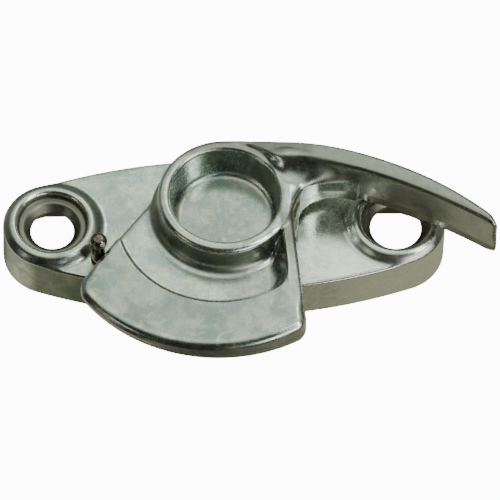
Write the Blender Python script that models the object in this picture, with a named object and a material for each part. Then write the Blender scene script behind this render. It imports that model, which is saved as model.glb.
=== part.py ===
"""Cam window catch: a lens-shaped two-screw base, and a one-piece lever that turns on it and holds
an open round hub, a curved finger arm and a fan-shaped cam sector. Sizes are in millimetres, +Z is up
from the mounting plane, and the lever turns about the Z axis midway between the screw holes."""

import math

import bmesh
import bpy

MM = 0.001

# Base: two side arcs and two round ends, hollow underneath
HOLE_SPACING = 44.5
BASE_HEIGHT = 6.4
BASE_HALF_WIDTH = 10.2
END_RADIUS = 6.4
TOP_WALL = 1.4
SIDE_WALL = 0.8
BASE_EDGE = 0.5
UNDER_TOP_WALL = BASE_HEIGHT - TOP_WALL

# Screw bosses, from the outer wall over the crest and down the stepped seat
BOSS_RADIUS = 6.2
BOSS_LEAN = 0.15
CREST_RADIUS = 5.2
CREST_HEIGHT = BASE_HEIGHT + 1.1
CREST_LAND = 0.25
CREST_ROUND = 0.3
LEDGE_RADIUS = 4.4
LEDGE_HEIGHT = BASE_HEIGHT - 0.1
LEDGE_WALL = 0.6
SEAT_RADIUS = 3.7
THROAT_RADIUS = 3.15
THROAT_TOP = BASE_HEIGHT - 0.75

# Gaps between pieces, and how far a joined shape or a cutter runs into its neighbour
RUNNING_GAP = 0.3
SHAFT_GAP = 0.1
STACK_GAP = 0.2
PIN_GAP = 0.06
BURIED = 0.4
SLIVER = 0.02
PAST = 1.0

# Lever: open hub with its bearing pad and stem
UNDERSIDE = CREST_HEIGHT + RUNNING_GAP
PLATE_TOP = UNDERSIDE + 1.5
RIM_TOP = 13.4
RIM_INNER = 7.2
RIM_OUTER = 8.0
RIM_EDGE = 0.7
RIM_LIP = 0.1
RIM_LIP_DEPTH = 3 * RIM_LIP
HUB_RADIUS = RIM_OUTER + RIM_EDGE
FOOT_RADIUS = 9.4
FOOT_FILLET = 0.7
FLOOR_TOP = 8.5
FLOOR_RADIUS = 6.6
FLOOR_FILLET = 0.4
PAD_RADIUS = 7.6
PAD_BOTTOM = BASE_HEIGHT + RUNNING_GAP
STEM_RADIUS = 2.9

# Lever: cam sector. Its outer arc is off the turning axis, which makes it a cam
SECTOR_RADIUS = 21.5
SECTOR_CENTRE = (-0.95, 0.0)
EDGE_OFFSET = 8.65
EDGE_ANGLE = math.radians(142.3)
LEFT_CORNER = 3.2
RIGHT_CORNER = 1.5
CORNER_TRIM = 1.25
RIGHT_TOP = (8.65, -3.0)
RIGHT_END = (10.35, -19.0)
POCKET_CENTRE = (-0.3, -0.7)
POCKET_RADIUS = 13.6
POCKET_START = math.radians(-158)
POCKET_END = math.radians(-46)
BAND_LEFT_X = -18.6
BAND_RIGHT_X = 10.3
BAND_RISE = 1.7

# Lever: web that fills the corner between hub, arm and sector, and rib that runs down from it
WEB_CORNER = (9.0, 2.9)
WEB_END = (15.4, 3.2)
WEB_INNER_X = 4.0
WEB_BURIED_X = 12.6
WEB_TOP = RIM_TOP - 0.05
WEB_SLOPE = 0.03
RIB_WIDTH = 1.5
RIB_DRAFT = 1.2
RIB_END_Y = -13.2

# Lever: finger arm. Each wall is an arc: centre x, centre y, radius. The back one starts straight off the hub
ARM_BACK = (4.3, -36.55, 43.75)
ARM_TANGENT = math.radians(78.96)
ARM_TANGENT_END_X = 12.68
ARM_FRONT = (-9.5, -71.4, 78.5)
ARM_TOP = 15.6
ARM_BOTTOM = UNDERSIDE + 0.1
ARM_EDGE = 0.45
ARM_ROOT_X = 1.0
ARM_RISE_END_X = 12.0
ARM_TIP_X = 34.9
ROOT_CUT = 8.4
TIP_ROUND = 1.0

# Stop pin beside the left boss, just clear of the sector's edge
PIN_RADIUS = 0.85
PIN_HEAD_RADIUS = 1.1
PIN_HEAD_BOTTOM = 10.1
PIN_TOP = 11.3
PIN_DOME = 0.6
PIN_BOTTOM = UNDER_TOP_WALL - 0.3
PIN_ALONG_EDGE = 14.0

# Washers and peened tail, from the top wall down
SPRING_THICKNESS = 0.4
SPRING_WAVE = 0.15
SPRING_WAVES = 3
SPRING_OUTER = 5.6
WASHER_INNER = STEM_RADIUS + SHAFT_GAP
WASHER_OUTER = 6.0
WASHER_THICKNESS = 1.0
SPRING_HALF_HEIGHT = SPRING_WAVE + SPRING_THICKNESS / 2
SPRING_MIDDLE = UNDER_TOP_WALL - STACK_GAP - SPRING_HALF_HEIGHT
WASHER_TOP = SPRING_MIDDLE - SPRING_HALF_HEIGHT - STACK_GAP
TAIL_TOP = WASHER_TOP - WASHER_THICKNESS - STACK_GAP
TAIL_RADIUS = 3.9
TAIL_BOTTOM = 0.9
TAIL_DOME = 0.6

# Facets
HUB_STEPS = 64
BOSS_STEPS = 48
PIN_STEPS = 24
SIDE_STEPS = 22
END_STEPS = 18
CORNER_STEPS = 6
SECTOR_STEPS = 30
WEB_STEPS = 10
ARM_STEPS = 18
TIP_STEPS = 5
FILLET_MIDDLE = 1 - math.cos(math.pi / 4)
SMOOTH_ANGLE = math.radians(35)

PLATED_ZINC = (0.62, 0.64, 0.62)
PLATED_STEEL = (0.55, 0.56, 0.55)
ZINC_ROUGHNESS = 0.35
STEEL_ROUGHNESS = 0.3
PIN_ROUGHNESS = 0.25
BROWNED_STEEL = (0.30, 0.25, 0.21)

BOSS_PROFILE = [
    (BOSS_RADIUS, UNDER_TOP_WALL + BURIED),
    (BOSS_RADIUS, BASE_HEIGHT - SLIVER),
    (BOSS_RADIUS - BOSS_LEAN, BASE_HEIGHT + CREST_ROUND),
    (CREST_RADIUS + CREST_ROUND + BOSS_LEAN, CREST_HEIGHT - CREST_LAND),
    (CREST_RADIUS + CREST_LAND / 2, CREST_HEIGHT),
    (CREST_RADIUS - CREST_LAND / 2, CREST_HEIGHT),
]

SEAT_PROFILE = [
    (THROAT_RADIUS, UNDER_TOP_WALL - PAST),
    (THROAT_RADIUS, THROAT_TOP),
    (SEAT_RADIUS, LEDGE_HEIGHT),
    (LEDGE_RADIUS, LEDGE_HEIGHT),
    (LEDGE_RADIUS + BOSS_LEAN, LEDGE_HEIGHT + LEDGE_WALL),
    (CREST_RADIUS - CREST_LAND / 2, CREST_HEIGHT),
    (CREST_RADIUS + CREST_LAND / 2, CREST_HEIGHT + CREST_LAND),
]

HUB_PROFILE = [
    (TAIL_RADIUS - TAIL_DOME, TAIL_BOTTOM),
    (TAIL_RADIUS, TAIL_BOTTOM + TAIL_DOME),
    (TAIL_RADIUS, TAIL_TOP),
    (STEM_RADIUS, TAIL_TOP),
    (STEM_RADIUS, PAD_BOTTOM),
    (PAD_RADIUS, PAD_BOTTOM),
    (PAD_RADIUS, UNDERSIDE),
    (FOOT_RADIUS, UNDERSIDE),
    (FOOT_RADIUS, PLATE_TOP),
    (FOOT_RADIUS - (1 - FILLET_MIDDLE) * FOOT_FILLET, PLATE_TOP + FILLET_MIDDLE * FOOT_FILLET),
    (FOOT_RADIUS - FOOT_FILLET, PLATE_TOP + FOOT_FILLET),
    (HUB_RADIUS, RIM_TOP - RIM_EDGE),
    (HUB_RADIUS - FILLET_MIDDLE * RIM_EDGE, RIM_TOP - FILLET_MIDDLE * RIM_EDGE),
    (RIM_OUTER, RIM_TOP),
]

CUP_PROFILE = [
    (FLOOR_RADIUS - FLOOR_FILLET, FLOOR_TOP),
    (FLOOR_RADIUS, FLOOR_TOP + FLOOR_FILLET),
    (RIM_INNER - RIM_LIP, RIM_TOP - RIM_LIP_DEPTH),
    (RIM_INNER + RIM_LIP, RIM_TOP + RIM_LIP / 2),
    (ROOT_CUT, RIM_TOP + RIM_LIP / 2 + SLIVER),
    (ROOT_CUT, ARM_TOP + PAST),
]


def clear_scene():
    for thing in list(bpy.data.objects):
        bpy.data.objects.remove(thing, do_unlink=True)


def metal(name, colour, roughness):
    material = bpy.data.materials.new(name)
    material.use_nodes = True
    shader = material.node_tree.nodes["Principled BSDF"]
    shader.inputs["Base Color"].default_value = (*colour, 1.0)
    shader.inputs["Metallic"].default_value = 1.0
    shader.inputs["Roughness"].default_value = roughness
    return material


def polar(centre, radius, angle):
    return (centre[0] + radius * math.cos(angle), centre[1] + radius * math.sin(angle))


def arc(centre, radius, start, end, steps):
    """Points along an arc, both ends included, with the angles in radians."""
    return [polar(centre, radius, start + (end - start) * i / steps) for i in range(steps + 1)]


def rounded_corner(before, corner, after, radius):
    """The points of a fillet that replaces a corner between two straight stretches."""
    start = math.atan2(before[1] - corner[1], before[0] - corner[0])
    end = math.atan2(after[1] - corner[1], after[0] - corner[0])
    half = ((end - start + math.pi) % (2 * math.pi) - math.pi) / 2
    centre = polar(corner, radius / abs(math.sin(half)), start + half)
    turn = math.copysign(math.pi / 2 - abs(half), half)
    middle = start + half + math.pi
    return arc(centre, radius, middle + turn, middle - turn, CORNER_STEPS)


def lofted(name, rings, is_loop=False):
    """A closed body from rings of equal length: a loop of rings, or a run of them with capped ends."""
    builder = bmesh.new()
    made = [[builder.verts.new([value * MM for value in point]) for point in ring] for ring in rings]
    following = made[1:] + made[:1] if is_loop else made[1:]
    for one, other in zip(made, following):
        for i in range(len(one)):
            j = (i + 1) % len(one)
            builder.faces.new((one[i], one[j], other[j], other[i]))
    if not is_loop:
        builder.faces.new(made[0][::-1])
        builder.faces.new(made[-1])
    bmesh.ops.recalc_face_normals(builder, faces=builder.faces)
    mesh = bpy.data.meshes.new(name)
    builder.to_mesh(mesh)
    builder.free()
    thing = bpy.data.objects.new(name, mesh)
    bpy.context.scene.collection.objects.link(thing)
    return thing


def turned(name, profile, centre=(0.0, 0.0), steps=HUB_STEPS):
    """A solid of revolution about an upright axis. The profile's first and last points set its flat ends."""
    angles = [2 * math.pi * i / steps for i in range(steps)]
    rings = [[(*polar(centre, radius, angle), height) for angle in angles] for radius, height in profile]
    return lofted(name, rings)


def prism(name, outline, bottom, top):
    """An upright solid. The top is a height, or a function of the place that gives one."""
    height = top if callable(top) else lambda x, y: top
    lower = [(x, y, bottom) for x, y in outline]
    upper = [(x, y, height(x, y)) for x, y in outline]
    return lofted(name, [lower, upper])


def boolean(body, other, operation):
    step = body.modifiers.new(f"{operation.lower()}_{other.name}", "BOOLEAN")
    step.operation = operation
    step.solver = "EXACT"
    step.object = other
    other.hide_render = True
    other.display_type = "WIRE"
    other.hide_set(True)


def finish(body, material):
    body.data.materials.append(material)
    body.data.shade_smooth()
    body.data.set_sharp_from_angle(angle=SMOOTH_ANGLE)


def lens_outline(inset):
    """Two side arcs that meet the two round ends smoothly, moved in by the inset."""
    half_width = BASE_HALF_WIDTH - inset
    end_radius = END_RADIUS - inset
    reach = HOLE_SPACING / 2
    side_radius = (reach**2 + half_width**2 - end_radius**2) / (2 * (half_width - end_radius))
    middle = half_width - side_radius
    meet = math.atan2(-middle, reach)
    back = arc((0, middle), side_radius, meet, math.pi - meet, SIDE_STEPS)
    left = arc((-reach, 0), end_radius, math.pi - meet, math.pi + meet, END_STEPS)
    half = back + left[1:-1]
    return half + [(-x, -y) for x, y in half]


def base_plate(material):
    edge_rings = [
        (0.0, 0.0),
        (BASE_HEIGHT - BASE_EDGE, 0.0),
        (BASE_HEIGHT - FILLET_MIDDLE * BASE_EDGE, FILLET_MIDDLE * BASE_EDGE),
        (BASE_HEIGHT, BASE_EDGE),
    ]
    body = lofted("base_plate", [[(x, y, z) for x, y in lens_outline(inset)] for z, inset in edge_rings])
    screw_centres = {"left": (-HOLE_SPACING / 2, 0.0), "right": (HOLE_SPACING / 2, 0.0)}
    for side, centre in screw_centres.items():
        boolean(body, turned(f"{side}_boss", BOSS_PROFILE, centre, BOSS_STEPS), "UNION")
    boolean(body, prism("hollow", lens_outline(SIDE_WALL), -PAST, UNDER_TOP_WALL), "DIFFERENCE")
    for side, centre in screw_centres.items():
        boolean(body, turned(f"{side}_seat", SEAT_PROFILE, centre, BOSS_STEPS), "DIFFERENCE")
    through = (UNDER_TOP_WALL - PAST, BASE_HEIGHT + PAST)
    stem_hole = turned("stem_hole", [(STEM_RADIUS + SHAFT_GAP, z) for z in through])
    boolean(body, stem_hole, "DIFFERENCE")
    pin_hole = turned("pin_hole", [(PIN_RADIUS + PIN_GAP, z) for z in through], pin_centre(), PIN_STEPS)
    boolean(body, pin_hole, "DIFFERENCE")
    finish(body, material)


def along_edge(offset, distance):
    """A place given by its offset square to the sector's left edge, and its distance outwards along it."""
    across, up = math.cos(EDGE_ANGLE), math.sin(EDGE_ANGLE)
    return (across * offset - up * distance, up * offset + across * distance)


def pin_centre():
    return along_edge(EDGE_OFFSET + RUNNING_GAP + PIN_RADIUS, PIN_ALONG_EDGE)


def where_it_meets_the_rim(start, towards):
    """Where the line from one place towards another leaves the sector's outer circle."""
    length = math.dist(start, towards)
    step = ((towards[0] - start[0]) / length, (towards[1] - start[1]) / length)
    away = (start[0] - SECTOR_CENTRE[0], start[1] - SECTOR_CENTRE[1])
    half = away[0] * step[0] + away[1] * step[1]
    rest = away[0] ** 2 + away[1] ** 2 - SECTOR_RADIUS**2
    distance = -half + math.sqrt(half**2 - rest)
    return (start[0] + step[0] * distance, start[1] + step[1] * distance)


def rim_angle(point):
    return math.atan2(point[1] - SECTOR_CENTRE[1], point[0] - SECTOR_CENTRE[0])


def sector_rim():
    """The sector's outline from its left edge, round the outer arc, to the top of its right edge."""
    start = along_edge(EDGE_OFFSET, 0.0)
    left = where_it_meets_the_rim(start, along_edge(EDGE_OFFSET, 1.0))
    right = where_it_meets_the_rim(RIGHT_TOP, RIGHT_END)
    first = rim_angle(left) + CORNER_TRIM * LEFT_CORNER / SECTOR_RADIUS
    last = rim_angle(right) - CORNER_TRIM * RIGHT_CORNER / SECTOR_RADIUS
    outer = arc(SECTOR_CENTRE, SECTOR_RADIUS, first, last, SECTOR_STEPS)
    left_corner = rounded_corner(start, left, outer[0], LEFT_CORNER)
    right_corner = rounded_corner(outer[-1], right, RIGHT_TOP, RIGHT_CORNER)
    between = [point for point in outer if left_corner[-1][0] < point[0] < right_corner[0][0]]
    return [start] + left_corner + between[1:-1] + right_corner + [RIGHT_TOP]


def web_curve():
    """The quadratic Bezier curve from the sector's right edge to the arm, without its first point."""
    points = []
    for i in range(1, WEB_STEPS + 1):
        t = i / WEB_STEPS
        weights = ((1 - t) ** 2, 2 * t * (1 - t), t**2)
        corners = (RIGHT_TOP, WEB_CORNER, WEB_END)
        points.append(tuple(sum(w * corner[k] for w, corner in zip(weights, corners)) for k in (0, 1)))
    return points


def band_height(x, y):
    return PLATE_TOP + BAND_RISE * (x - BAND_LEFT_X) / (BAND_RIGHT_X - BAND_LEFT_X)


def web_height(x, y):
    return WEB_TOP - WEB_SLOPE * (x - WEB_INNER_X)


def sector_band():
    """The raised outer band's outline: the sector's rim closed by the arc of the pocket."""
    return sector_rim()[1:-1] + arc(POCKET_CENTRE, POCKET_RADIUS, POCKET_END, POCKET_START, SECTOR_STEPS)


def rib():
    """A ridge along the sector's right edge, from the web's height down to the band's."""
    low = PLATE_TOP - BURIED
    start_height = web_height(*RIGHT_TOP)
    rings = []
    for y in (0.0, RIGHT_TOP[1], RIB_END_Y):
        share = max(RIGHT_TOP[1] - y, 0.0) / (RIGHT_TOP[1] - RIGHT_END[1])
        right = RIGHT_TOP[0] + (RIGHT_END[0] - RIGHT_TOP[0]) * share - SLIVER
        top = start_height + (band_height(right, y) - start_height) * y / RIB_END_Y
        left = right - RIB_WIDTH
        foot = left - RIB_DRAFT
        section = [(right, low), (right, top), (left, top), (foot, PLATE_TOP - SLIVER), (foot, low)]
        rings.append([(x, y, z) for x, z in section])
    return lofted("rib", rings)


def wall_y(circle, x):
    return circle[1] + math.sqrt(circle[2] ** 2 - (x - circle[0]) ** 2)


def arm_back_y(x):
    """The arm's back wall touches the hub, runs straight, and bends into its arc."""
    if x > ARM_TANGENT_END_X:
        return wall_y(ARM_BACK, x)
    return (HUB_RADIUS - x * math.cos(ARM_TANGENT)) / math.sin(ARM_TANGENT)


def arm():
    """A bar of upright sections between two arcs. It rises out of the hub's rim and ends in a round tip."""
    tip_start = ARM_TIP_X - TIP_ROUND
    places = [ARM_ROOT_X + (tip_start - ARM_ROOT_X) * i / ARM_STEPS for i in range(ARM_STEPS)]
    places += [tip_start + TIP_ROUND * math.sin(math.pi / 2 * i / TIP_STEPS) for i in range(TIP_STEPS)]
    places.append(ARM_TIP_X - SLIVER)
    rings = []
    for x in places:
        back = arm_back_y(x)
        front = wall_y(ARM_FRONT, x)
        rise = min((x - ARM_ROOT_X) / (ARM_RISE_END_X - ARM_ROOT_X), 1.0)
        top = WEB_TOP + (ARM_TOP - WEB_TOP) * rise * rise * (3 - 2 * rise)
        into_tip = max(x - tip_start, 0.0) / TIP_ROUND
        left_over = math.sqrt(1 - into_tip**2)
        middle = (back + front) / 2
        back = middle + (back - middle) * left_over
        front = middle + (front - middle) * left_over
        top -= TIP_ROUND * (1 - left_over)
        bottom = ARM_BOTTOM + TIP_ROUND * (1 - left_over)
        edge = min(ARM_EDGE, (back - front) / 3)
        section = [
            (front, bottom + edge),
            (front + edge, bottom),
            (back - edge, bottom),
            (back, bottom + edge),
            (back, top - edge),
            (back - FILLET_MIDDLE * edge, top - FILLET_MIDDLE * edge),
            (back - edge, top),
            (front + edge, top),
            (front + FILLET_MIDDLE * edge, top - FILLET_MIDDLE * edge),
            (front, top - edge),
        ]
        rings.append([(x, y, z) for y, z in section])
    return lofted("arm", rings)


def cam_lever(material):
    inside_arm = (WEB_BURIED_X, wall_y(ARM_FRONT, WEB_BURIED_X) + BURIED)
    inside_hub = [(WEB_INNER_X, RIM_INNER - BURIED), (-FLOOR_RADIUS / 2, RIM_INNER - BURIED)]
    body = prism("cam_lever", sector_rim() + web_curve() + [inside_arm] + inside_hub, UNDERSIDE, PLATE_TOP)
    inside_web = [(WEB_INNER_X, 0.0), (RIGHT_TOP[0] - BURIED, RIGHT_TOP[1] + BURIED)]
    web_outline = web_curve() + [inside_arm, inside_hub[0]] + inside_web
    joined = [
        prism("band", sector_band(), PLATE_TOP - BURIED, band_height),
        rib(),
        prism("web", web_outline, PLATE_TOP - BURIED, web_height),
        arm(),
        turned("hub", HUB_PROFILE),
    ]
    for shape in joined:
        boolean(body, shape, "UNION")
    boolean(body, turned("cup", CUP_PROFILE), "DIFFERENCE")
    finish(body, material)


def stop_pin(material):
    shank = [
        (PIN_RADIUS, PIN_BOTTOM),
        (PIN_RADIUS, PIN_HEAD_BOTTOM),
        (PIN_HEAD_RADIUS, PIN_HEAD_BOTTOM + PIN_HEAD_RADIUS - PIN_RADIUS),
    ]
    dome_start = PIN_TOP - PIN_DOME
    angles = [math.radians(degrees) for degrees in (0, 25, 50, 75)]
    dome = [(PIN_HEAD_RADIUS * math.cos(angle), dome_start + PIN_DOME * math.sin(angle)) for angle in angles]
    finish(turned("stop_pin", shank + dome, pin_centre(), PIN_STEPS), material)


def washer(name, material, inner, outer, thickness, middle_height):
    """A ring whose middle height is a function of the angle, so that it can be flat or waved."""
    rings = []
    for i in range(HUB_STEPS):
        angle = 2 * math.pi * i / HUB_STEPS
        low = middle_height(angle) - thickness / 2
        high = low + thickness
        section = [(inner, low), (outer, low), (outer, high), (inner, high)]
        rings.append([(*polar((0, 0), radius, angle), z) for radius, z in section])
    finish(lofted(name, rings, is_loop=True), material)


def waved_height(angle):
    return SPRING_MIDDLE + SPRING_WAVE * math.sin(SPRING_WAVES * angle)


def flat_height(angle):
    return WASHER_TOP - WASHER_THICKNESS / 2


def main():
    clear_scene()
    base_plate(metal("plated_base", PLATED_ZINC, ZINC_ROUGHNESS))
    cam_lever(metal("plated_lever", PLATED_ZINC, ZINC_ROUGHNESS))
    stop_pin(metal("browned_steel", BROWNED_STEEL, PIN_ROUGHNESS))
    spring = metal("spring_steel", PLATED_STEEL, STEEL_ROUGHNESS)
    washer("spring_washer", spring, WASHER_INNER, SPRING_OUTER, SPRING_THICKNESS, waved_height)
    plated = metal("plated_steel", PLATED_STEEL, STEEL_ROUGHNESS)
    washer("retaining_washer", plated, WASHER_INNER, WASHER_OUTER, WASHER_THICKNESS, flat_height)


main()
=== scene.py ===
"""The looks of the cam window catch. Each CAD piece is replaced by a finer mesh of the same size, with the
fillets and soft edges of a plated casting. Each is worked out from a distance in millimetres to its surface,
in the frame of the CAD model, then meshed."""

import math

import bpy
import numpy as np
from mathutils import Matrix, Vector

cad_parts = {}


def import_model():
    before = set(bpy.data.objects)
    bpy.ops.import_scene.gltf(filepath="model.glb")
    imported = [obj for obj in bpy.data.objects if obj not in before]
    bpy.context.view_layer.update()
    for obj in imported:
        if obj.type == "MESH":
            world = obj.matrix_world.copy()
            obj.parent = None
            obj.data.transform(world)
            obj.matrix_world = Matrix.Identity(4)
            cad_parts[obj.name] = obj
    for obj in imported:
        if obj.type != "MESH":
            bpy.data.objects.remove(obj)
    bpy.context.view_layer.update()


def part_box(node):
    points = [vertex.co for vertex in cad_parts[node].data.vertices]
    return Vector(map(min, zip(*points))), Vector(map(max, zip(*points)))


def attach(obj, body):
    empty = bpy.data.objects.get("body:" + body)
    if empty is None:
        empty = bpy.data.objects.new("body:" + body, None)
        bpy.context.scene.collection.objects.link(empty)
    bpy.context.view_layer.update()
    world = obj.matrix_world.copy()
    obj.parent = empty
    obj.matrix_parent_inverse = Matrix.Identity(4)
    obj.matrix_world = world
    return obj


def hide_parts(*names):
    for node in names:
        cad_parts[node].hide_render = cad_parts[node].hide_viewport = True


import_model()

MM = 0.001

# Base
REACH = 22.25
BASE_HEIGHT = 6.4
BASE_HALF_WIDTH = 10.2
END_RADIUS = 6.4
TOP_WALL = 1.4
SIDE_WALL = 0.8
UNDER_TOP = BASE_HEIGHT - TOP_WALL
BASE_EDGE = 0.45
BOSS_RADIUS = 6.2
BOSS_DRAFT = 0.3
BOSS_EDGE = 0.8
BOSS_FILLET = 0.75
CREST_HEIGHT = 7.5
CREST_EDGE = 0.5
LEDGE_RADIUS = 4.4
LEDGE_DRAFT = 0.12
LEDGE_HEIGHT = 6.3
THROAT_RADIUS = 3.15
LEFT_THROAT_TRIM = 0.5
THROAT_TOP = 5.2
THROAT_FLARE = 0.91
HOLLOW_EDGE = 0.6
HOLLOW_RIM_EDGE = 0.12
HOLLOW_END_HALF = 5.6
HOLLOW_WIDENING = 4.0
HOLLOW_END_X = 20.0
HOLLOW_FULL_X = 17.0

# Hub, cup and stem of the lever
UNDERSIDE = 7.8
UNDER_EDGE = 0.2
PLATE_TOP = 9.3
RIM_TOP = 13.4
RIM_INNER = 7.2
RIM_OUTER_EDGE = 0.75
RIM_JOINED_EDGE = 0.1
CUP_EDGE = 0.4
CUP_FILLET = 0.7
HUB_RADIUS = 8.65
HUB_DRAFT = 0.08
HUB_FOOT = 1.3
HUB_FOOT_TOP = 12.2
FOOT_RADIUS = 9.4
FLOOR_TOP = 8.5
FLOOR_RADIUS = 6.4
PAD_RADIUS = 7.6
PAD_BOTTOM = 6.7
STEM_RADIUS = 2.9
STEM_PLAY = 0.1
TAIL_RADIUS = 3.9
TAIL_TOP = 2.7
TAIL_BOTTOM = 0.9
TAIL_EDGE = 0.6

# Cam sector, rib and web of the lever
SECTOR_RADIUS = 21.49
SECTOR_CENTRE_X = -0.95
PARTING_STEP = 0.1
PARTING_HEIGHT = 8.65
EDGE_OFFSET = 8.65
EDGE_ANGLE = math.radians(142.3)
LEFT_CORNER = 2.0
RIGHT_CORNER = 1.3
SECTOR_EDGE = 0.7
SECTOR_OUTER_EDGE = 1.3
RIGHT_TOP = (8.65, -3.0)
RIGHT_END = (10.35, -19.0)
POCKET_CENTRE = (-0.3, -0.7)
POCKET_RADIUS = 13.6
POCKET_CORNER = 1.6
BAND_LEFT_X = -18.6
BAND_RIGHT_X = 10.3
BAND_RISE = 1.7
BAND_EDGE = 0.3
RIB_WIDTH = 1.5
RIB_DRAFT = 1.2
RIB_START_Y = -2.5
RIB_END_Y = -13.2
RIB_FOOT_X = 9.7
RIDGE_FALL = 0.5
WEB_TOP = 13.4
WEB_SLOPE = 0.045
WEB_INNER_X = 4.0
WEB_FRONT_Y = -8.0
WEB_FLAT_X = 8.0
WEB_FILLET = 8.9
WEB_END_X = 17.2

# Finger arm of the lever. Its back wall is a straight line and then an arc, its front wall one arc.
ARM_BACK = (4.3, -36.55, 43.75)
ARM_TANGENT = (0.1915, 0.9815)
ARM_TANGENT_END_X = 12.68
ARM_FRONT = (-9.5, -71.4, 78.5)
ARM_TOP = 15.56
ARM_BOTTOM = 7.8
ARM_ROOT_X = 0.0
ARM_ROOT_TOP = RIM_TOP - 0.1
ARM_ROOT_DROP = 0.7
ARM_ROOT_DROP_X = 3.5
ARM_RISE_END_X = 12.0
ARM_TIP_X = 34.85
ARM_TIP_EDGE = 1.3
ARM_TIP_UNDER_EDGE = 1.6
ARM_PARTING = 10.1
ARM_UNDERCUT = 0.22
ARM_LEAN = 0.38
ARM_EDGE = 0.45
ARM_UNDER_EDGE = 0.4
ROOT_CUT = 8.2
ROOT_CORNER = 0.6

# Stop pin
PIN_CENTRE = (-16.31, -5.09)
PIN_RADIUS = 0.85
PIN_PLAY = 0.06
PIN_HEAD_RADIUS = 1.1
PIN_HEAD_BOTTOM = 10.1
PIN_DOME = 0.75
PIN_TOP = 11.3
PIN_BOTTOM = 4.7

# Washers
WASHER_INNER = 3.0
WASHER_EDGE = 0.08
SPRING_OUTER = 5.6
SPRING_THICKNESS = 0.4
SPRING_WAVE = 0.15
SPRING_WAVES = 3
SPRING_MIDDLE = 4.45
WASHER_OUTER = 6.0
WASHER_TOP = 3.9
WASHER_THICKNESS = 1.0

# Every piece. BURIED is how far one shape goes into the next, so that they join or cut cleanly.
SMALL_EDGE = 0.15
TINY_EDGE = 0.1
BURIED = 0.4

# Meshing
SLOPE_REACH = 0.01
LEAST_SLOPE_SQUARED = 0.05
LAST_MOVE = 0.05
BEND_REACH = 0.25

# Zinc plate and its tints, worn edges, and the tones of painted shade, painted highlight and painted light
PLATE_DARK = (0.38, 0.47, 0.43)
PLATE_LIGHT = (0.60, 0.67, 0.585)
CREAM = (0.76, 0.78, 0.62)
BLUE = (0.38, 0.49, 0.51)
SMUDGE = (0.36, 0.42, 0.38)
FROST = (0.76, 0.82, 0.78)
SPECK = (0.25, 0.26, 0.22)
# Painted light: the tone of a pool of light painted on the castings towards +X.
PAINTED_LIGHT_TONE = (0.95, 0.98, 0.90)
# Worn edges and painted highlight: the tone on the castings' outer edges.
WORN_AND_HIGHLIGHT_TONE = (0.84, 0.85, 0.76)
# Painted shade: the tone laid in corners and creases.
CREASE_SHADE_TONE = (0.22, 0.22, 0.18)
# Painted shade: the dark tone laid where shade falls on hollows, holes, walls and undercuts.
PAINTED_SHADE_TONE = (0.185, 0.175, 0.14)
# Worn edges and painted highlight: the tone on the steel pieces' outer edges.
STEEL_WEAR_AND_HIGHLIGHT_TONE = (0.62, 0.58, 0.52)


def rounded_join(a, b, radius):
    """The union of two distances, with a fillet where they meet."""
    u = np.maximum(radius - a, 0)
    v = np.maximum(radius - b, 0)
    return np.maximum(radius, np.minimum(a, b)) - np.hypot(u, v)


def rounded_meet(a, b, radius):
    """The intersection of two distances, with a rounded edge where they meet."""
    u = np.maximum(radius + a, 0)
    v = np.maximum(radius + b, 0)
    return np.minimum(-radius, np.maximum(a, b)) + np.hypot(u, v)


def smooth_min(a, b, width):
    blend = np.maximum(width - np.abs(a - b), 0) / width
    return np.minimum(a, b) - blend * blend * width / 4


def smooth_max(a, b, width):
    return -smooth_min(-a, -b, width)


def rise(value, start, end):
    """0 where the value is at the start, 1 where it is at the end, and a smooth change between. The end may
    be the lower of the two."""
    t = np.clip((value - start) / (end - start), 0, 1)
    return t * t * (3 - 2 * t)


def lens(x, y):
    """The base's outline: two side arcs that meet the two round ends smoothly."""
    side = (REACH**2 + BASE_HALF_WIDTH**2 - END_RADIUS**2) / (2 * (BASE_HALF_WIDTH - END_RADIUS))
    middle = BASE_HALF_WIDTH - side
    px = np.abs(x)
    py = np.abs(y)
    by_the_end = REACH * (py - middle) + middle * px < 0
    end_distance = np.hypot(px - REACH, py) - END_RADIUS
    side_distance = np.hypot(px, py - middle) - side
    return np.where(by_the_end, end_distance, side_distance)


def screw_seat(x, z, across):
    """The hole for a screw: a sunk ledge, a flare and a throat."""
    ledge_wall = across - LEDGE_RADIUS - LEDGE_DRAFT * (z - LEDGE_HEIGHT)
    counterbore = rounded_meet(ledge_wall, LEDGE_HEIGHT - z, SMALL_EDGE)
    throat = across - THROAT_RADIUS + LEFT_THROAT_TRIM * rise(x, 0, -1)
    flare = (throat - THROAT_FLARE * (z - THROAT_TOP)) / math.hypot(1, THROAT_FLARE)
    flare = np.maximum(np.maximum(flare, THROAT_TOP - z), z - LEDGE_HEIGHT - BURIED)
    seat = rounded_join(counterbore, flare, SMALL_EDGE)
    return rounded_join(seat, throat, SMALL_EDGE)


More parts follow.
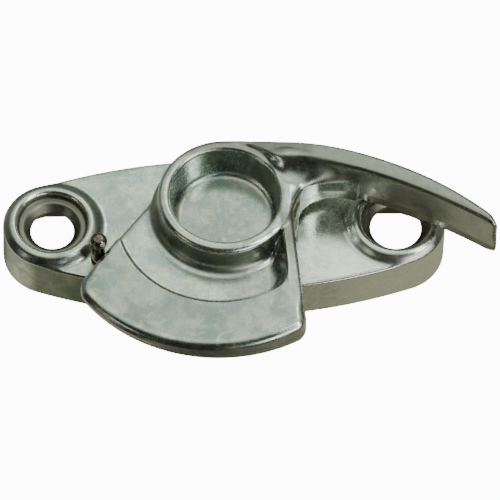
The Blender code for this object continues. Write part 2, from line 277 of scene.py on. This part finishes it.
def base_shape(x, y, z):
    """The hollow base with its two screw bosses, and the holes for the stem and the stop pin."""
    outline = lens(x, y)
    shell = rounded_meet(outline, z - BASE_HEIGHT, BASE_EDGE)
    shell = rounded_meet(shell, -z, SMALL_EDGE)
    across = np.hypot(np.abs(x) - REACH, y)
    wall = across - BOSS_RADIUS + BOSS_DRAFT * (z - BASE_HEIGHT)
    boss = rounded_meet(wall, z - CREST_HEIGHT, BOSS_EDGE)
    boss = np.maximum(boss, UNDER_TOP + BURIED - z)
    shell = np.maximum(rounded_join(shell, boss, BOSS_FILLET), outline)
    hollow_half = HOLLOW_END_HALF + HOLLOW_WIDENING * rise(np.abs(x), HOLLOW_END_X, HOLLOW_FULL_X)
    hollow_side = np.maximum(outline + SIDE_WALL, np.abs(y) - hollow_half)
    hollow = rounded_meet(hollow_side, z - UNDER_TOP, HOLLOW_EDGE)
    shell = rounded_meet(shell, -hollow, HOLLOW_RIM_EDGE)
    shell = rounded_meet(shell, -screw_seat(x, z, across), CREST_EDGE)
    shell = rounded_meet(shell, STEM_RADIUS + STEM_PLAY - np.hypot(x, y), TINY_EDGE)
    pin_hole = PIN_RADIUS + PIN_PLAY - np.hypot(x - PIN_CENTRE[0], y - PIN_CENTRE[1])
    return rounded_meet(shell, pin_hole, PIN_PLAY)


def right_edge(x, y):
    """How far a point is to the right of the sector's right edge."""
    along = np.array(RIGHT_END) - np.array(RIGHT_TOP)
    nx, ny = -along[1] / np.hypot(*along), along[0] / np.hypot(*along)
    return (x - RIGHT_TOP[0]) * nx + (y - RIGHT_TOP[1]) * ny


def arm_front(x, y):
    """How far a point is in front of the arm's front wall."""
    return ARM_FRONT[2] - np.hypot(x - ARM_FRONT[0], y - ARM_FRONT[1])


def arm_back(x, y):
    """How far a point is behind the arm's back wall, which starts where it touches the hub."""
    straight = x * ARM_TANGENT[0] + y * ARM_TANGENT[1] - HUB_RADIUS
    curved = np.hypot(x - ARM_BACK[0], y - ARM_BACK[1]) - ARM_BACK[2]
    return np.where(x < ARM_TANGENT_END_X, straight, curved)


def outer_edge(x, y):
    """How far a point is outside the sector's curved edge."""
    return np.hypot(x - SECTOR_CENTRE_X, y) - SECTOR_RADIUS


def pocket_edge(x, y):
    """How far a point is outside the pocket's curved edge."""
    return np.hypot(x - POCKET_CENTRE[0], y - POCKET_CENTRE[1]) - POCKET_RADIUS


def band_height(x):
    return PLATE_TOP + BAND_RISE * (x - BAND_LEFT_X) / (BAND_RIGHT_X - BAND_LEFT_X)


def sector_outline(x, y, right, outer):
    """The fan, and the web that joins it to the arm."""
    left = x * math.cos(EDGE_ANGLE) + y * math.sin(EDGE_ANGLE) - EDGE_OFFSET
    behind = x * math.sin(EDGE_ANGLE) - y * math.cos(EDGE_ANGLE)
    fan = rounded_meet(rounded_meet(outer, left, LEFT_CORNER), right, RIGHT_CORNER)
    fan = np.maximum(fan, behind)
    web = rounded_join(right, arm_front(x, y), WEB_FILLET)
    for limit in (WEB_INNER_X - x, WEB_FRONT_Y - y, arm_back(x, y) + 1.0, x - WEB_END_X):
        web = np.maximum(web, limit)
    return np.minimum(fan, web)


def sector_shape(x, y, z):
    """The fan-shaped plate with its raised band, rib and web, as an outline under one top surface."""
    right = right_edge(x, y)
    outer = outer_edge(x, y) + PARTING_STEP * rise(z, PARTING_HEIGHT, PARTING_HEIGHT + 0.3)
    web_plane = WEB_TOP - WEB_SLOPE * np.maximum(x - WEB_FLAT_X, 0)
    rib_slope = (WEB_TOP - band_height(RIB_FOOT_X)) / (RIB_START_Y - RIB_END_Y)
    rib_line = WEB_TOP + rib_slope * (y - RIB_START_Y)
    ridge = smooth_min(web_plane, rib_line, 0.3)
    ridge = ridge - RIDGE_FALL * np.maximum(-(right + RIB_WIDTH), 0)
    high = smooth_max(band_height(x), ridge, 0.5)
    step = np.maximum(high - PLATE_TOP, 0.05)
    rib_side = right + RIB_WIDTH + RIB_DRAFT * (high - z) / np.maximum(step, 1.0)
    pocket = rounded_meet(pocket_edge(x, y), rib_side, POCKET_CORNER)
    raised = rounded_meet(-pocket, z - high, BAND_EDGE)
    top = rounded_join(z - PLATE_TOP, raised, np.clip(0.8 * step, 0.02, 1.0))
    edge = SECTOR_EDGE + (SECTOR_OUTER_EDGE - SECTOR_EDGE) * rise(outer, -4.5, -2.0)
    return rounded_meet(sector_outline(x, y, right, outer), top, edge)


def arm_shape(x, y, z, across):
    """The finger arm. It grows out of the rim, leans where the web joins it, and has a rounded end."""
    lean = ARM_LEAN * rise(x, 18, 12) * (ARM_TOP - np.clip(z, WEB_TOP - 1, ARM_TOP))
    front = arm_front(x, y) + ARM_UNDERCUT * np.maximum(ARM_PARTING - z, 0) - lean
    front = rounded_meet(front, ROOT_CUT - across, ROOT_CORNER)
    outline = np.maximum(np.maximum(front, arm_back(x, y)), ARM_ROOT_X - x)
    top = ARM_ROOT_TOP + (ARM_TOP - ARM_ROOT_TOP) * rise(x, ARM_ROOT_X, ARM_RISE_END_X)
    top = top - ARM_ROOT_DROP * rise(x, ARM_ROOT_DROP_X, 0)
    edge = ARM_EDGE - 0.2 * rise(x, 8, 5) + 0.25 * rise(x, 12, 22)
    edge = ARM_UNDER_EDGE + (edge - ARM_UNDER_EDGE) * rise(z, 11, 12.5)
    profile = rounded_meet(x - ARM_TIP_X, z - top, ARM_TIP_EDGE)
    profile = rounded_meet(profile, ARM_BOTTOM - z, ARM_TIP_UNDER_EDGE)
    return rounded_meet(outline, profile, edge)


def hub_shape(x, y, z, across):
    """The hub's outer wall. Its top edge is nearly sharp where the web and the arm carry on at its height."""
    beside_web = rise(x, 5.5, 7) * rise(y, -6.5, -4)
    beside_arm = rise(x, 0, 3) * rise(y, 2, 3.5)
    wall = across - HUB_RADIUS - HUB_DRAFT * (RIM_TOP - z)
    joined = np.maximum(beside_web, beside_arm)
    return rounded_meet(wall, z - RIM_TOP, RIM_OUTER_EDGE + (RIM_JOINED_EDGE - RIM_OUTER_EDGE) * joined)


def cup_shape(z, across):
    """The hollow of the hub, which narrows towards its floor."""
    wall_slope = (RIM_INNER - FLOOR_RADIUS) / (RIM_TOP - FLOOR_TOP)
    wall = across - FLOOR_RADIUS - wall_slope * (z - FLOOR_TOP)
    return rounded_meet(wall, FLOOR_TOP - z, CUP_FILLET)


def lever_shape(x, y, z):
    """The whole lever casting, down to the stem's peened tail."""
    across = np.hypot(x, y)
    flange = rounded_meet(across - FOOT_RADIUS, z - PLATE_TOP, SMALL_EDGE)
    body = np.minimum(sector_shape(x, y, z), flange)
    foot = HUB_FOOT * rise(z, HUB_FOOT_TOP, HUB_FOOT_TOP - 1.2)
    shoulder = 0.5 * rise(y, -1, -3) * rise(z, HUB_FOOT_TOP, HUB_FOOT_TOP + 0.6)
    body = rounded_join(body, hub_shape(x, y, z, across), 0.01 + foot + shoulder)
    by_the_web = rise(x, 4.5, 8.5) * rise(x, 17.5, 11.5) * rise(z, 12, 12.9)
    fillet = 0.3 + 2.5 * by_the_web * rise(arm_front(x, y), -2, -0.6)
    body = rounded_join(body, arm_shape(x, y, z, across), fillet)
    body = rounded_meet(body, UNDERSIDE - z, UNDER_EDGE)
    body = rounded_meet(body, -cup_shape(z, across), CUP_EDGE)
    pad = np.maximum(np.maximum(across - PAD_RADIUS, PAD_BOTTOM - z), z - UNDERSIDE - 0.3)
    stem = np.maximum(np.maximum(across - STEM_RADIUS, TAIL_BOTTOM + 1 - z), z - UNDERSIDE)
    tail = rounded_meet(across - TAIL_RADIUS, z - TAIL_TOP, TINY_EDGE)
    tail = rounded_meet(tail, TAIL_BOTTOM - z, TAIL_EDGE)
    return np.minimum(np.minimum(body, pad), np.minimum(stem, tail))


def pin_shape(x, y, z):
    """The stop pin: a plain shank and a wider domed head."""
    across = np.hypot(x - PIN_CENTRE[0], y - PIN_CENTRE[1])
    shank = np.maximum(np.maximum(across - PIN_RADIUS, PIN_BOTTOM - z), z - PIN_HEAD_BOTTOM - 0.5)
    head = rounded_meet(across - PIN_HEAD_RADIUS, z - PIN_TOP, PIN_DOME)
    head = rounded_meet(head, PIN_HEAD_BOTTOM - z, SMALL_EDGE)
    return rounded_join(shank, head, TINY_EDGE)


def ring_shape(across, height, inner, outer, thickness):
    ring = rounded_meet(across - outer, np.abs(height) - thickness / 2, WASHER_EDGE)
    return rounded_meet(ring, inner - across, WASHER_EDGE)


def spring_shape(x, y, z):
    wave = SPRING_MIDDLE + SPRING_WAVE * np.sin(SPRING_WAVES * np.arctan2(y, x))
    return ring_shape(np.hypot(x, y), z - wave, WASHER_INNER, SPRING_OUTER, SPRING_THICKNESS)


def washer_shape(x, y, z):
    middle = WASHER_TOP - WASHER_THICKNESS / 2
    return ring_shape(np.hypot(x, y), z - middle, WASHER_INNER, WASHER_OUTER, WASHER_THICKNESS)


def slope(shape, points, reach):
    """The gradient of a shape's distance at some points."""
    parts = []
    for axis in range(3):
        move = np.zeros(3)
        move[axis] = reach
        parts.append((shape(*(points + move).T) - shape(*(points - move).T)) / (2 * reach))
    return np.stack(parts, axis=1)


def settle(shape, points, most):
    """Moves points onto the surface exactly."""
    for _ in range(3):
        gradient = slope(shape, points, SLOPE_REACH)
        length = np.maximum((gradient**2).sum(axis=1), LEAST_SLOPE_SQUARED)
        move = -(shape(*points.T) / length)[:, None] * gradient
        size = np.linalg.norm(move, axis=1)[:, None]
        points = points + move * np.minimum(1, most / np.maximum(size, 1e-9))
    return points


def surface_of(shape, low, high, pitch):
    """The points and quads of a shape's surface, one point for each grid cell that the surface crosses."""
    axes = [np.arange(low[k] - 2 * pitch, high[k] + 3 * pitch, pitch) for k in range(3)]
    grid = np.ix_(*[axis.astype(np.float32) for axis in axes])
    values = np.broadcast_to(shape(*grid), [len(axis) for axis in axes])
    inside = values < 0
    cells = np.array(values.shape) - 1
    weights = np.array([cells[1] * cells[2], cells[2], 1])
    corners, places, flips = [], [], []
    for axis in range(3):
        lower = [slice(None)] * 3
        upper = [slice(None)] * 3
        lower[axis] = slice(None, -1)
        upper[axis] = slice(1, None)
        at = np.stack(np.nonzero(inside[tuple(lower)] != inside[tuple(upper)]), axis=1)
        ahead = at.copy()
        ahead[:, axis] += 1
        one = values[tuple(at.T)]
        other = values[tuple(ahead.T)]
        place = np.stack([axes[k][at[:, k]] for k in range(3)], axis=1)
        place[:, axis] += pitch * one / (one - other)
        around = []
        for step_b, step_c in ((1, 1), (0, 1), (0, 0), (1, 0)):
            cell = at.copy()
            cell[:, (axis + 1) % 3] -= step_b
            cell[:, (axis + 2) % 3] -= step_c
            around.append(cell @ weights)
        corners.append(np.stack(around, axis=1))
        places.append(place)
        flips.append(one > 0)
    corners = np.concatenate(corners)
    places = np.repeat(np.concatenate(places), 4, axis=0)
    flips = np.concatenate(flips)
    _, index = np.unique(corners.reshape(-1), return_inverse=True)
    counts = np.bincount(index)
    points = np.stack([np.bincount(index, weights=places[:, k]) / counts for k in range(3)], axis=1)
    quads = index.reshape(-1, 4)
    quads[flips] = quads[flips][:, ::-1]
    return points, quads


def mesh_object(name, points, faces):
    mesh = bpy.data.meshes.new(name)
    mesh.from_pydata((points * MM).tolist(), [], faces.tolist())
    thing = bpy.data.objects.new(name, mesh)
    bpy.context.scene.collection.objects.link(thing)
    return thing


def thinned(thing, most_triangles):
    """The object's mesh with its flat areas in fewer triangles."""
    thin = thing.modifiers.new("thin", "DECIMATE")
    thin.ratio = min(1.0, most_triangles / (2 * len(thing.data.polygons)))
    graph = bpy.context.evaluated_depsgraph_get()
    mesh = bpy.data.meshes.new_from_object(thing.evaluated_get(graph))
    thing.modifiers.clear()
    thing.data = mesh


def painted_shade_base(x, y, z):
    """Painted shade on the base: strong in the hollow and the screw holes, and lighter round the bosses."""
    across = np.hypot(np.abs(x) - REACH, y)
    inside = rise(lens(x, y), -0.4, -0.6) * rise(z, UNDER_TOP + 0.3, UNDER_TOP + 0.1)
    seat = 0.9 * rise(across, LEDGE_RADIUS + 0.35, LEDGE_RADIUS + 0.05)
    seat = seat * rise(z, CREST_HEIGHT - 0.2, CREST_HEIGHT - 0.7)
    side = 0.45 * rise(across, BOSS_RADIUS - 0.9, BOSS_RADIUS - 0.4)
    side = side * rise(across, BOSS_RADIUS + 0.7, BOSS_RADIUS + 0.2)
    side = side * rise(z, BASE_HEIGHT - 0.1, BASE_HEIGHT + 0.1)
    return np.maximum(np.maximum(inside, side), seat)


def painted_shade_hub(x, y, z, across):
    """Painted shade on the hub: its outer wall, the back of its rim, and the cup's right wall and floor."""
    wall = 0.6 * rise(z, PLATE_TOP + 0.02, PLATE_TOP + 0.32) * rise(z, RIM_TOP - 0.5, RIM_TOP - 1.0)
    wall = wall * rise(across, 8.3, 8.6) * rise(across, 9.9, 9.5)
    back = 0.6 * rise(y, 4.0, 6.5) * rise(x, -7, -3) * rise(z, RIM_TOP - 0.4, RIM_TOP - 0.1)
    cup_floor = 0.35 * rise(across, RIM_INNER, RIM_INNER - 0.4) * rise(z, FLOOR_TOP + 0.6, FLOOR_TOP + 0.3)
    cup_wall = 0.8 * rise(across, RIM_INNER + 0.1, RIM_INNER - 0.1) * rise(x, 1, 5)
    cup_wall = cup_wall * rise(z, RIM_TOP - 0.4, RIM_TOP - 0.7) * rise(z, FLOOR_TOP + 0.4, FLOOR_TOP + 0.8)
    return np.maximum(np.maximum(wall, back), np.maximum(cup_floor, cup_wall))


def painted_shade_sector(x, y, z, across):
    """Painted shade on the sector: its curved rim, the pocket's right half, the rib and the web."""
    rim = 0.5 * rise(outer_edge(x, y), -0.5, -0.1)
    pocket = 0.3 * rise(x, -2, 2) * rise(pocket_edge(x, y), 0.6, 0)
    pocket = pocket * rise(z, PLATE_TOP + 0.4, PLATE_TOP + 0.2) * rise(z, PLATE_TOP - 0.4, PLATE_TOP - 0.2)
    rib = 0.6 * rise(right_edge(x, y), -RIB_WIDTH - 0.4, -RIB_WIDTH) * rise(z, 11, 11.8)
    rib = rib * rise(across, 13, 10) * rise(y, -1, -4)
    web = 0.5 * rise(x, 8.8, 10.3) * rise(x, 19, 16) * rise(y, -1, 1) * rise(z, WEB_TOP - 0.9, WEB_TOP - 0.4)
    return np.maximum(np.maximum(rim, pocket), np.maximum(rib, web))


def painted_shade_arm(x, y, z):
    """Painted shade on the arm: its walls near the hub, its top, and most of all the undercut below it."""
    wall = 0.7 * rise(x, 25, 18)
    on_top = 0.7 * rise(z, ARM_TOP - 1.2, ARM_TOP - 0.6)
    undercut = 0.85 * rise(z, ARM_PARTING + 0.1, ARM_PARTING - 0.1) * rise(x, 27, 24)
    arm = np.maximum(np.maximum(wall, on_top), undercut)
    return arm * rise(x, 6, 11) * rise(arm_front(x, y), 0.5, 0.1)


def painted_shade_lever(x, y, z):
    """How much painted shade the lever gets: full on the underside, and in patches above."""
    across = np.hypot(x, y)
    below = rise(z, UNDERSIDE + 0.1, UNDERSIDE - 0.1)
    above = np.maximum(painted_shade_hub(x, y, z, across), painted_shade_sector(x, y, z, across))
    return np.maximum(below, np.maximum(above, painted_shade_arm(x, y, z)))


def no_painted_shade(x, y, z):
    return np.zeros_like(x)


def store_layers(thing, shape, painted_shade_map):
    """Keeps two values on each point: how sharply the surface bends there, above 0 on an outer edge and
    below 0 in a corner, and how much painted shade it gets."""
    mesh = thing.data
    points = np.empty(len(mesh.vertices) * 3)
    mesh.vertices.foreach_get("co", points)
    points = settle(shape, points.reshape(-1, 3) / MM, LAST_MOVE)
    mesh.vertices.foreach_set("co", (points * MM).reshape(-1))
    bend = -6 * shape(*points.T)
    for axis in range(3):
        move = np.zeros(3)
        move[axis] = BEND_REACH
        bend = bend + shape(*(points + move).T) + shape(*(points - move).T)
    # The second layer is painted shade: how much each point is darkened where shade falls.
    for name, values in (("bend", bend / BEND_REACH**2), ("painted_shade", painted_shade_map(*points.T))):
        layer = mesh.attributes.new(name, "FLOAT", "POINT")
        layer.data.foreach_set("value", values.astype(np.float32))


def shaped_piece(name, shape, painted_shade_map, node, pitch, most_triangles):
    low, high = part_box(node)
    points, quads = surface_of(shape, low / MM, high / MM, pitch)
    points = settle(shape, points, pitch)
    thing = mesh_object(name, points, quads)
    thinned(thing, most_triangles)
    store_layers(thing, shape, painted_shade_map)
    thing.data.shade_smooth()
    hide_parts(node)
    return thing


class Graph:
    """A short way to write a node tree: each call adds one node and returns it."""

    def __init__(self, tree):
        self.tree = tree
        tree.nodes.clear()

    def add(self, kind, inputs=None, **settings):
        node = self.tree.nodes.new(kind)
        for name, value in settings.items():
            setattr(node, name, value)
        for name, value in (inputs or {}).items():
            socket = node.inputs[name]
            if isinstance(value, bpy.types.NodeSocket):
                self.tree.links.new(value, socket)
            else:
                socket.default_value = value
        return node

    def math(self, operation, a, b=0.0):
        return self.add("ShaderNodeMath", {0: a, 1: b}, operation=operation).outputs[0]

    def mix(self, share, a, b):
        made = self.add("ShaderNodeMix", {0: share, 6: a, 7: b}, data_type="RGBA")
        return made.outputs[2]

    def noise(self, place, scale, detail=3.0, roughness=0.5, warp=0.0):
        values = {
            "Vector": place,
            "Scale": scale,
            "Detail": detail,
            "Roughness": roughness,
            "Distortion": warp,
        }
        return self.add("ShaderNodeTexNoise", values).outputs[0]

    def remap(self, value, from_low, from_high, to_low=0.0, to_high=1.0):
        values = {0: value, 1: from_low, 2: from_high, 3: to_low, 4: to_high}
        return self.add("ShaderNodeMapRange", values, interpolation_type="SMOOTHSTEP").outputs[0]

    def millimetres(self):
        """Where a point is on its object, in millimetres."""
        place = self.add("ShaderNodeTexCoord").outputs["Object"]
        return self.add("ShaderNodeMapping", {"Vector": place, "Scale": (1000, 1000, 1000)}).outputs[0]

    def metal(self, base, rough, normal):
        values = {"Base Color": base, "Metallic": 1.0, "Roughness": rough, "Normal": normal}
        shader = self.add("ShaderNodeBsdfPrincipled", values)
        self.add("ShaderNodeOutputMaterial", {"Surface": shader.outputs[0]})


def colour(tone):
    return (*tone, 1.0)


def plated_casting(name, painted_light, painted_light_start, painted_light_end, satin):
    """Zinc plate on a casting: pale, cloudy and satin, with cream and blue tints and specks, outer edges
    lightened as wear and painted highlight, and painted shade in creases and where the painted shade layer
    says. A painted pool of light rises along X between its start and its end."""
    material = bpy.data.materials.new(name)
    material.use_nodes = True
    g = Graph(material.node_tree)
    mm = g.millimetres()
    bend = g.add("ShaderNodeAttribute", attribute_name="bend").outputs["Fac"]
    # The painted shade layer: how much a point is darkened as painted shade, and roughened.
    painted_shade = g.add("ShaderNodeAttribute", attribute_name="painted_shade").outputs["Fac"]
    clouds = g.noise(mm, 0.15, 3, 0.55, 0.6)
    patches = g.noise(mm, 0.5, 5, 0.68, 0.5)
    mottle = g.noise(mm, 1.5, 4, 0.7, 0.3)
    specks = g.noise(mm, 3.2, 2, 0.5)

    base = g.mix(g.remap(clouds, 0.38, 0.62), colour(PLATE_DARK), colour(PLATE_LIGHT))
    tints = (
        (patches, 0.50, 0.64, 0.8, CREAM),
        (patches, 0.48, 0.34, 0.8, BLUE),
        (mottle, 0.52, 0.68, 0.5, SMUDGE),
        (mottle, 0.46, 0.32, 0.4, FROST),
        (specks, 0.66, 0.74, 0.35, SPECK),
    )
    for pattern, start, end, most, tint in tints:
        base = g.mix(g.remap(pattern, start, end, 0, most), base, colour(tint))
    # Painted light: a pool of light painted along X, with a ragged border from the patches.
    along = g.add("ShaderNodeSeparateXYZ", {0: mm}).outputs[0]
    along = g.math("ADD", along, g.math("MULTIPLY", g.math("SUBTRACT", patches, 0.5), 24.0))
    base = g.mix(g.remap(along, painted_light_start, painted_light_end, 0, painted_light), base, colour(PAINTED_LIGHT_TONE))
    # Outer edges lightened: partly wear, partly a painted highlight.
    wear_and_highlight = g.math("MULTIPLY", g.remap(bend, 0.6, 2.2), g.remap(mottle, 0.35, 0.6, 0.3, 0.9))
    base = g.mix(wear_and_highlight, base, colour(WORN_AND_HIGHLIGHT_TONE))
    # Painted shade: concave corners and creases darkened where shade falls.
    crease_shade = g.math("MULTIPLY", g.remap(bend, -0.5, -2.5), 0.25)
    base = g.mix(crease_shade, base, colour(CREASE_SHADE_TONE))
    # Painted shade: the colour is darkened towards the shade tone by the painted shade layer.
    base = g.mix(painted_shade, base, colour(PAINTED_SHADE_TONE))

    rough = g.remap(mottle, 0.3, 0.7, satin, satin + 0.1)
    rough = g.math("ADD", rough, g.remap(clouds, 0.38, 0.62, -0.02, 0.05))
    rough = g.math("SUBTRACT", rough, g.math("MULTIPLY", wear_and_highlight, 0.04))
    # The painted shade layer also makes the surface rougher.
    rough = g.math("ADD", rough, g.math("MULTIPLY", painted_shade, 0.15))
    fine = g.noise(mm, 3.0, 3, 0.55)
    relief = g.math("ADD", g.math("MULTIPLY", mottle, 0.15), g.math("MULTIPLY", fine, 0.05))
    relief = g.math("ADD", relief, g.math("MULTIPLY", patches, 0.7))
    bump = g.add("ShaderNodeBump", {"Height": relief, "Strength": 0.11, "Distance": 0.00006})
    g.metal(base, rough, bump.outputs[0])
    return material


def bare_steel(name, dark, light, roughness):
    """Turned or pressed steel: fine mottling, and edges lightened as wear and as a painted highlight."""
    material = bpy.data.materials.new(name)
    material.use_nodes = True
    g = Graph(material.node_tree)
    mm = g.millimetres()
    bend = g.add("ShaderNodeAttribute", attribute_name="bend").outputs["Fac"]
    mottle = g.noise(mm, 1.6, 4, 0.6, 0.3)
    fine = g.noise(mm, 11.0, 3, 0.6)
    base = g.mix(g.remap(mottle, 0.35, 0.65), colour(dark), colour(light))
    # Outer edges lightened: partly wear, partly a painted highlight.
    wear_and_highlight = g.math("MULTIPLY", g.remap(bend, 1.5, 5.0), g.remap(fine, 0.35, 0.6, 0.2, 0.6))
    base = g.mix(wear_and_highlight, base, colour(STEEL_WEAR_AND_HIGHLIGHT_TONE))
    rough = g.remap(fine, 0.3, 0.7, roughness - 0.06, roughness + 0.08)
    bump = g.add("ShaderNodeBump", {"Height": fine, "Strength": 0.3, "Distance": 0.00002})
    g.metal(base, rough, bump.outputs[0])
    return material


def build_pieces():
    """Each row: piece, shape, painted shade, CAD node, grid pitch in mm, most triangles, body and slot."""
    pieces = [
        ("base_casting", base_shape, painted_shade_base, "base_plate", 0.17, 170000, "base", "plated_base"),
        ("lever_casting", lever_shape, painted_shade_lever, "cam_lever", 0.17, 180000, "lever", "plated_lever"),
        ("stop_pin_turned", pin_shape, no_painted_shade, "stop_pin", 0.07, 12000, "base", "browned_steel"),
        (
            "spring_washer_pressed",
            spring_shape,
            no_painted_shade,
            "spring_washer",
            0.1,
            16000,
            "lever",
            "plated_steel",
        ),
        (
            "retaining_washer_turned",
            washer_shape,
            no_painted_shade,
            "retaining_washer",
            0.12,
            12000,
            "lever",
            "plated_steel",
        ),
    ]
    finishes = {
        # Both castings get a painted pool of light towards +X: its strength, and its start and end in mm.
        "plated_base": plated_casting("zinc_plate_base", 0.7, 3.0, 15.0, 0.19),
        "plated_lever": plated_casting("zinc_plate_lever", 0.3, 0.0, 10.0, 0.18),
        "browned_steel": bare_steel("browned_steel", (0.11, 0.09, 0.078), (0.24, 0.2, 0.17), 0.14),
        "plated_steel": bare_steel("plated_steel", (0.50, 0.51, 0.50), (0.66, 0.67, 0.65), 0.3),
    }
    for name, shape, painted_shade_map, node, pitch, most, body, slot in pieces:
        thing = shaped_piece(name, shape, painted_shade_map, node, pitch, most)
        thing.data.materials.append(finishes[slot])
        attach(thing, body)


def floor():
    """A pale floor that glows evenly, and isn't seen in the metal."""
    mesh = bpy.data.meshes.new("floor")
    half = 1.5
    corners = [(-half, -half, 0), (half, -half, 0), (half, half, 0), (-half, half, 0)]
    mesh.from_pydata(corners, [], [(0, 1, 2, 3)])
    thing = bpy.data.objects.new("floor", mesh)
    bpy.context.scene.collection.objects.link(thing)
    thing.location.z = -0.00005
    thing.visible_glossy = False
    material = bpy.data.materials.new("pale_floor")
    material.use_nodes = True
    g = Graph(material.node_tree)
    values = {
        "Base Color": colour((0.9, 0.9, 0.9)),
        "Roughness": 0.9,
        "Emission Color": colour((1, 1, 1)),
        "Emission Strength": 12.0,
    }
    shader = g.add("ShaderNodeBsdfPrincipled", values)
    g.add("ShaderNodeOutputMaterial", {"Surface": shader.outputs[0]})
    mesh.materials.append(material)


def world():
    """Soft studio surroundings: wide glows high behind the object, a strip and small lamps to the sides, and
    dark in front. Each glow's row is its direction, the degrees where it is full and where it ends, and its
    colour."""
    wide_glows = (
        ((0.0, 0.36, 0.93), 28, 52, (0.68, 0.77, 0.675)),
        ((-0.28, 0.16, 0.95), 8, 26, (1.2, 1.28, 1.08)),
        ((0.17, 0.55, 0.81), 5, 8, (4.0, 4.5, 4.0)),
    )
    lamps = (
        ((-0.8, -0.45, 0.35), 4, 10, (1.6, 1.65, 1.5)),
        ((0.627, -0.342, 0.70), 4, 9, (16.0, 16.8, 16.4)),
        ((0.40, -0.08, 0.915), 3, 8, (9.0, 9.5, 9.2)),
    )
    made = bpy.data.worlds.new("studio")
    made.use_nodes = True
    bpy.context.scene.world = made
    g = Graph(made.node_tree)
    place = g.add("ShaderNodeTexCoord").outputs["Generated"]
    across, depth, height = g.add("ShaderNodeSeparateXYZ", {0: place}).outputs

    def add_glows(shade, glows):
        for direction, inner, outer, tone in glows:
            aim = Vector(direction).normalized()
            dot = g.add("ShaderNodeVectorMath", {0: place, 1: aim}, operation="DOT_PRODUCT").outputs["Value"]
            share = g.remap(dot, math.cos(math.radians(outer)), math.cos(math.radians(inner)))
            shade = g.mix(share, shade, colour(tone))
        return shade

    off_middle = g.math("ABSOLUTE", g.math("ADD", across, 0.12))
    ground = g.mix(g.remap(off_middle, 0.12, 0.5), colour((0.15, 0.145, 0.1)), colour((0.37, 0.36, 0.265)))
    ground = g.mix(g.remap(across, -0.32, -0.6), ground, colour((0.6, 0.58, 0.45)))
    above = g.mix(g.remap(depth, -0.1, 0.4), colour((0.028, 0.03, 0.023)), colour((0.2, 0.215, 0.185)))
    shade = g.mix(g.remap(height, -0.05, -0.5), above, ground)
    shade = add_glows(shade, wide_glows)
    off_strip = g.math("ABSOLUTE", g.math("SUBTRACT", height, 0.33))
    strip = g.math("MULTIPLY", g.remap(depth, -0.1, -0.35), g.remap(off_strip, 0.15, 0.08))
    strip = g.math("MULTIPLY", strip, g.remap(across, 0.2, 0.4))
    shade = g.mix(strip, shade, colour((4.5, 4.7, 4.4)))
    shade = add_glows(shade, lamps)
    background = g.add("ShaderNodeBackground", {"Color": shade, "Strength": 1.0})
    g.add("ShaderNodeOutputWorld", {"Surface": background.outputs[0]})


def camera():
    """A long lens from the front and above. The width seen is at the object's distance."""
    azimuth, elevation, roll = (math.radians(angle) for angle in (2.817, 56.686, 1.796))
    distance = 1.0375
    aim_right, aim_up = 0.003447, 0.000233
    width_seen = 0.0650618
    sensor_mm = 36
    forward = Vector(
        (
            math.sin(azimuth) * math.cos(elevation),
            math.cos(azimuth) * math.cos(elevation),
            -math.sin(elevation),
        )
    )
    level = Vector((math.cos(azimuth), -math.sin(azimuth), 0))
    upright = level.cross(forward)
    right = math.cos(roll) * level + math.sin(roll) * upright
    up = math.cos(roll) * upright - math.sin(roll) * level
    place = right * aim_right + up * aim_up - forward * distance
    lens_data = bpy.data.cameras.new("camera")
    lens_data.sensor_width = sensor_mm
    lens_data.lens = sensor_mm * distance / width_seen
    lens_data.clip_end = 10
    thing = bpy.data.objects.new("camera", lens_data)
    bpy.context.scene.collection.objects.link(thing)
    columns = Matrix((right, up, -forward)).transposed().to_4x4()
    thing.matrix_world = Matrix.Translation(place) @ columns
    bpy.context.scene.camera = thing


build_pieces()
floor()
world()
camera()
